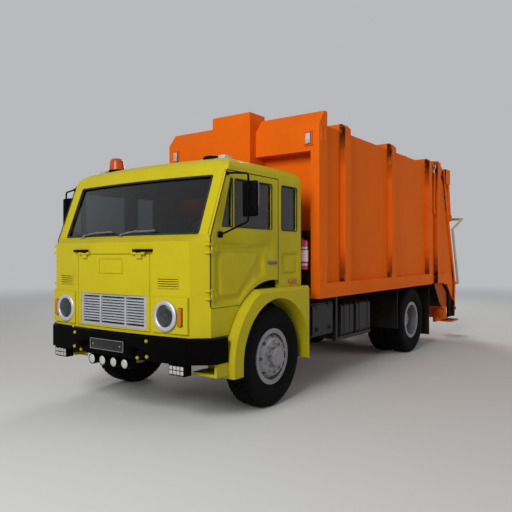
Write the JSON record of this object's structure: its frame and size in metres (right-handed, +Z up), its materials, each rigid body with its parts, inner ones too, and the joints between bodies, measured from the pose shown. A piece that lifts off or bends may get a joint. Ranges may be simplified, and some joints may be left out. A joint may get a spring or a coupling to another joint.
{
  "type": "rear-loading garbage truck",
  "caption": "Two-axle rear-loading garbage truck: forward-control cab, ribbed load body, tailgate with hopper, packing blade and bin lift.",
  "frame": {"origin": "middle of the truck's length and width, on the road", "axes": "+X forward, +Y to the truck's left, +Z up"},
  "size_m": [8.2889, 2.976, 3.4649],
  "materials": {
    "chassis_black": "satin",
    "cast_block": "rough",
    "tank_black": "satin",
    "exhaust_steel": "dull",
    "bumper_black": "semi-gloss",
    "cab_yellow": "gloss",
    "trim_black": "matte",
    "cab_window": "clear",
    "seat_cloth": "woven",
    "bright_metal": "bright",
    "lamp_chrome": "bright",
    "amber_lens": "clear amber",
    "red_lens": "clear red",
    "body_orange": "gloss",
    "extinguisher_red": "gloss",
    "flap_rubber": "matte",
    "arm_beige": "satin",
    "tyre_rubber": "matte",
    "wheel_silver": "satin"
  },
  "bodies": {
    "truck": {"chassis_frame": "chassis_black", "front_axle": "chassis_black", "rear_axle": "chassis_black", "leaf_springs": "chassis_black", "engine_gearbox": "cast_block", "fuel_tank": "tank_black", "tool_locker": "tank_black", "air_tanks": "chassis_black", "silencer": "exhaust_steel", "front_bumper": "bumper_black", "cab_front": "cab_yellow", "cab_quarters": "cab_yellow", "cab_back": "cab_yellow", "cab_roof": "cab_yellow", "cab_floor": "trim_black", "cab_glass": "cab_window", "front_fenders": "cab_yellow", "dashboard": "trim_black", "seats": "seat_cloth", "wipers": "bright_metal", "clear_lamps": "lamp_chrome", "amber_lamps": "amber_lens", "body_floor": "body_orange", "body_sides": "body_orange", "body_roof": "body_orange", "body_front": "body_orange", "hydraulic_tank": "tank_black", "fire_extinguisher": "extinguisher_red", "mudguards": "flap_rubber"},
    "flap": {"front_flap": "cab_yellow", "grille": "lamp_chrome"},
    "tailgate": {"tailgate_sides": "body_orange", "tailgate_back": "body_orange", "hopper_trough": "body_orange", "packer_cylinders": "body_orange", "tail_lamps": "red_lens"},
    "packer": {"packer_blade": "body_orange"},
    "lift": {"bin_lift": "arm_beige"},
    "left_door": {"door_left": "cab_yellow", "door_glass_left": "cab_window", "mirror_left": "trim_black"},
    "left_knuckle": {"knuckle_left": "chassis_black"},
    "left_front_wheel": {"front_tyre_left": "tyre_rubber", "front_rim_left": "wheel_silver"},
    "left_rear_wheels": {"rear_tyres_left": "tyre_rubber", "rear_rims_left": "wheel_silver"},
    "left_ram_barrel": {"ram_barrel_left": "chassis_black"},
    "left_ram_rod": {"ram_rod_left": "bright_metal"},
    "right_door": {"door_right": "cab_yellow", "door_glass_right": "cab_window", "mirror_right": "trim_black"},
    "right_knuckle": {"knuckle_right": "chassis_black"},
    "right_front_wheel": {"front_tyre_right": "tyre_rubber", "front_rim_right": "wheel_silver"},
    "right_rear_wheels": {"rear_tyres_right": "tyre_rubber", "rear_rims_right": "wheel_silver"},
    "right_ram_barrel": {"ram_barrel_right": "chassis_black"},
    "right_ram_rod": {"ram_rod_right": "bright_metal"}
  },
  "joints": [
    {"name": "left_steer", "type": "hinge", "parent": "truck", "child": "left_knuckle", "pos_m": [2.7795, 0.925, 0.542], "axis": [0, 0, 1], "range_deg": [-35, 35]},
    {"name": "left_front_spin", "type": "hinge", "parent": "left_knuckle", "child": "left_front_wheel", "pos_m": [2.7795, 1.03, 0.542], "axis": [0, 1, 0], "continuous": true},
    {"name": "left_rear_spin", "type": "hinge", "parent": "truck", "child": "left_rear_wheels", "pos_m": [-1.3705, 0.88, 0.542], "axis": [0, 1, 0], "continuous": true},
    {"name": "left_door_hinge", "type": "hinge", "parent": "truck", "child": "left_door", "pos_m": [3.8165, 1.18, 1.485], "axis": [0, 0, -1], "range_deg": [0, 70]},
    {"name": "right_steer", "type": "hinge", "parent": "truck", "child": "right_knuckle", "pos_m": [2.7795, -0.925, 0.542], "axis": [0, 0, 1], "range_deg": [-35, 35]},
    {"name": "right_front_spin", "type": "hinge", "parent": "right_knuckle", "child": "right_front_wheel", "pos_m": [2.7795, -1.03, 0.542], "axis": [0, 1, 0], "continuous": true},
    {"name": "right_rear_spin", "type": "hinge", "parent": "truck", "child": "right_rear_wheels", "pos_m": [-1.3705, -0.88, 0.542], "axis": [0, 1, 0], "continuous": true},
    {"name": "right_door_hinge", "type": "hinge", "parent": "truck", "child": "right_door", "pos_m": [3.8165, -1.18, 1.485], "axis": [0, 0, 1], "range_deg": [0, 70]},
    {"name": "tailgate_hinge", "type": "hinge", "parent": "truck", "child": "tailgate", "pos_m": [-2.2205, 0, 3.42], "axis": [0, 1, 0], "range_deg": [0, 90]},
    {"name": "packer_hinge", "type": "hinge", "parent": "tailgate", "child": "packer", "pos_m": [-2.8205, 0, 2.08], "axis": [0, 1, 0], "range_deg": [-30, 25]},
    {"name": "lift_hinge", "type": "hinge", "parent": "tailgate", "child": "lift", "pos_m": [-3.8305, 0, 1.06], "axis": [0, -1, 0], "range_deg": [0, 100]},
    {"name": "flap_hinge", "type": "hinge", "parent": "truck", "child": "flap", "pos_m": [4.0295, 0, 1.65], "axis": [0, -1, 0], "range_deg": [0, 80]},
    {"name": "left_ram_pivot", "type": "hinge", "parent": "truck", "child": "left_ram_barrel", "pos_m": [-2.3705, 1.225, 2.42], "axis": [0, 1, 0], "range_deg": [0, 1.45]},
    {"name": "left_ram_stroke", "type": "slide", "parent": "left_ram_barrel", "child": "left_ram_rod", "axis": [-0.0487, 0, 0.9988], "range_m": [0, 0.3714]},
    {"name": "right_ram_pivot", "type": "hinge", "parent": "truck", "child": "right_ram_barrel", "pos_m": [-2.3705, -1.225, 2.42], "axis": [0, 1, 0], "range_deg": [0, 1.45]},
    {"name": "right_ram_stroke", "type": "slide", "parent": "right_ram_barrel", "child": "right_ram_rod", "axis": [-0.0487, 0, 0.9988], "range_m": [0, 0.3714]}
  ],
  "couplings": [
    {"joint": "left_ram_pivot", "follows": "tailgate_hinge", "ratio": 0.014984},
    {"joint": "left_ram_stroke", "follows": "tailgate_hinge", "m_per_rad": 0.23517},
    {"joint": "right_ram_pivot", "follows": "tailgate_hinge", "ratio": 0.014984},
    {"joint": "right_ram_stroke", "follows": "tailgate_hinge", "m_per_rad": 0.23517},
    {"joint": "right_steer", "follows": "left_steer", "ratio": 1}
  ]
}
